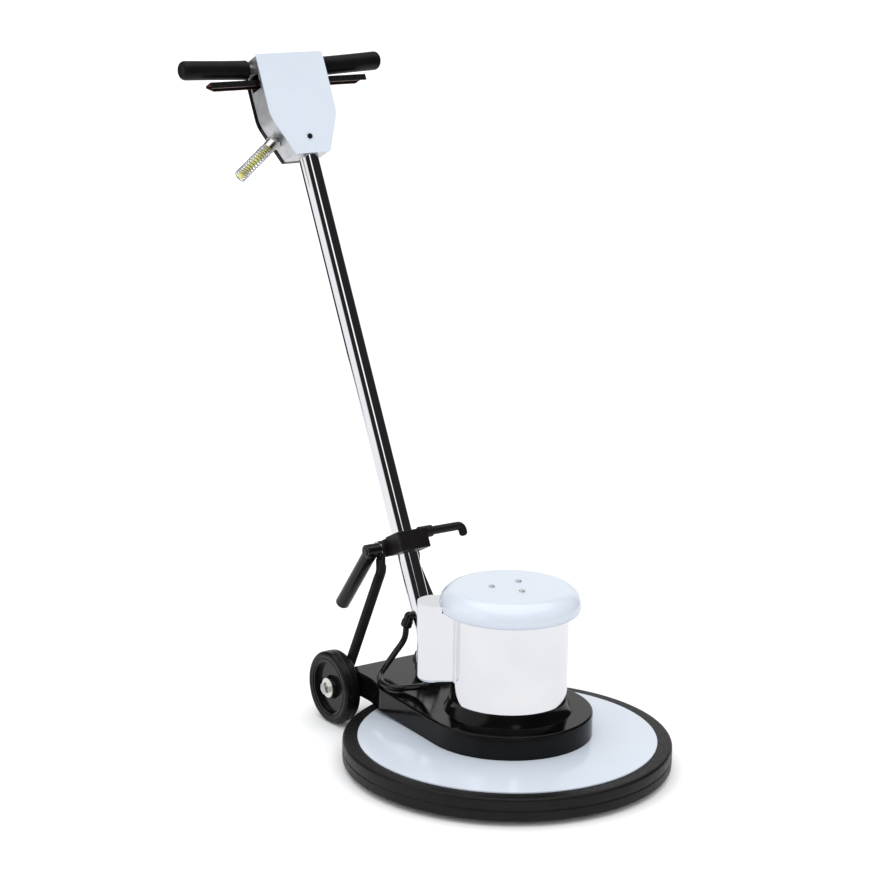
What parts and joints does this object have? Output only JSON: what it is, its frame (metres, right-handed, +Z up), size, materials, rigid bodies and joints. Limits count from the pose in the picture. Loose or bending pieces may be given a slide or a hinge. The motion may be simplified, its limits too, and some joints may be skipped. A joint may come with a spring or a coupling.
{
  "type": "rotary floor machine",
  "caption": "Rotary floor machine: domed pad housing with rubber bumper, upright chrome motor on a cast frame, tilting tube handle with trigger lever and two wheels.",
  "frame": {"origin": "on the floor under the motor shaft, where the pad's face meets the motor axis", "axes": "+Z up along the motor shaft, -Y to the front of the machine, +Y to the wheels and the operator, +X to the operator's left"},
  "size_m": [0.5719, 1.0737, 1.1637],
  "materials": {
    "white_paint": "gloss",
    "black_paint": "gloss",
    "black_satin": "satin",
    "chrome": "mirror polish",
    "bumper_rubber": "satin",
    "tyre_rubber": "satin",
    "grip_rubber": "satin",
    "black_plastic": "gloss",
    "zinc": "bright zinc",
    "steel": "machined",
    "cast_aluminium": "satin cast",
    "laminations": "dark",
    "copper": "enamelled copper",
    "driver_plastic": "matt",
    "clutch_plastic": "matt",
    "pad_fibre": "open non-woven",
    "yellow_cord": "satin",
    "black_cord": "gloss",
    "trigger_enamel": "satin"
  },
  "bodies": {
    "base": {"base_frame": "black_paint", "pad_housing": "white_paint", "bumper_ring": "bumper_rubber", "motor_base_plate": "black_paint", "motor_shell": "chrome", "motor_cap": "white_paint", "cap_screws": "zinc", "upper_end_bell": "cast_aluminium", "motor_bearings": "steel", "stator_core": "laminations", "stator_windings": "copper", "ring_gear": "steel", "gear_case": "cast_aluminium", "gear_case_cover": "cast_aluminium", "spindle_bearing": "steel", "foot_bracket": "black_satin", "foot_bracket_bolts": "zinc", "foot_pivot_bolt": "zinc", "axle": "steel", "axle_fasteners": "zinc", "capacitor_cover": "chrome", "capacitor": "black_plastic", "power_cable": "black_cord"},
    "output": {"floor_pad": "pad_fibre", "pad_driver": "driver_plastic", "clutch_plate": "clutch_plastic", "output_spindle": "steel", "planet_carrier": "steel"},
    "planet_1": {"planet_gear_1": "steel"},
    "planet_2": {"planet_gear_2": "steel"},
    "planet_3": {"planet_gear_3": "steel"},
    "rotor": {"motor_shaft": "steel", "rotor_core": "laminations", "cooling_fan": "driver_plastic"},
    "left_wheel": {"left_tyre": "tyre_rubber", "left_wheel_hub": "black_plastic"},
    "right_wheel": {"right_tyre": "tyre_rubber", "right_wheel_hub": "black_plastic"},
    "braces": {"handle_braces": "black_satin"},
    "handle": {"handle_tube": "chrome", "handle_foot": "black_satin", "head_casting": "cast_aluminium", "head_plate": "white_paint", "head_rear_cover": "black_paint", "grip_bar": "steel", "hand_grips": "grip_rubber", "head_screw": "black_satin", "switch_body": "driver_plastic", "trigger_pin": "steel", "cord_gland": "zinc", "cord_spring": "zinc", "mains_cord": "yellow_cord", "tube_gland": "black_plastic"},
    "trigger": {"trigger_lever": "trigger_enamel"},
    "switch_button": {"switch_plunger": "clutch_plastic"},
    "clamp": {"clamp_block": "black_satin", "clamp_pin": "zinc", "cord_hook": "black_satin"},
    "lock_lever": {"lock_lever": "black_plastic", "lock_lever_grip": "black_plastic"}
  },
  "joints": [
    {"name": "handle_tilt", "type": "hinge", "parent": "base", "child": "handle", "pos_m": [0, 0.2315, 0.128], "axis": [-1, 0, 0], "range_deg": [-12, 25], "deforming": ["power_cable"]},
    {"name": "brace_swing", "type": "hinge", "parent": "base", "child": "braces", "pos_m": [0, 0.336, 0.066], "axis": [-1, 0, 0], "range_deg": [-12.6, 26]},
    {"name": "clamp_slide", "type": "slide", "parent": "handle", "child": "clamp", "axis": [0, 0.454, 0.891], "range_m": [-0.0262, 0.054]},
    {"name": "lock_lever_turn", "type": "hinge", "parent": "clamp", "child": "lock_lever", "pos_m": [-0.055, 0.34921, 0.30483], "axis": [1, 0, 0], "range_deg": [-5, 80]},
    {"name": "trigger_squeeze", "type": "hinge", "parent": "handle", "child": "trigger", "pos_m": [0, 0.72018, 1.11132], "axis": [1, 0, 0], "range_deg": [0, 7]},
    {"name": "switch_press", "type": "slide", "parent": "handle", "child": "switch_button", "axis": [0, 0.891, -0.454], "range_m": [0, 0.0027]},
    {"name": "left_wheel_spin", "type": "hinge", "parent": "base", "child": "left_wheel", "pos_m": [0.1427, 0.336, 0.066], "axis": [1, 0, 0], "continuous": true},
    {"name": "right_wheel_spin", "type": "hinge", "parent": "base", "child": "right_wheel", "pos_m": [-0.1427, 0.336, 0.066], "axis": [1, 0, 0], "continuous": true},
    {"name": "pad_spin", "type": "hinge", "parent": "base", "child": "output", "pos_m": [0, 0, 0.04], "axis": [0, 0, 1], "continuous": true},
    {"name": "rotor_spin", "type": "hinge", "parent": "base", "child": "rotor", "pos_m": [0, 0, 0.19], "axis": [0, 0, 1], "continuous": true},
    {"name": "planet_1_spin", "type": "hinge", "parent": "output", "child": "planet_1", "pos_m": [0.03375, 0, 0.079], "axis": [0, 0, 1], "continuous": true},
    {"name": "planet_2_spin", "type": "hinge", "parent": "output", "child": "planet_2", "pos_m": [-0.01688, 0.02923, 0.079], "axis": [0, 0, 1], "continuous": true},
    {"name": "planet_3_spin", "type": "hinge", "parent": "output", "child": "planet_3", "pos_m": [-0.01688, -0.02923, 0.079], "axis": [0, 0, 1], "continuous": true}
  ],
  "couplings": [
    {"joint": "brace_swing", "follows": "handle_tilt", "ratio": 1.03},
    {"joint": "clamp_slide", "follows": "handle_tilt", "m_per_rad": 0.12261},
    {"joint": "switch_press", "follows": "trigger_squeeze", "m_per_rad": 0.0213},
    {"joint": "rotor_spin", "follows": "pad_spin", "ratio": 9},
    {"joint": "planet_1_spin", "follows": "pad_spin", "ratio": -2.2857},
    {"joint": "planet_2_spin", "follows": "pad_spin", "ratio": -2.2857},
    {"joint": "planet_3_spin", "follows": "pad_spin", "ratio": -2.2857}
  ]
}
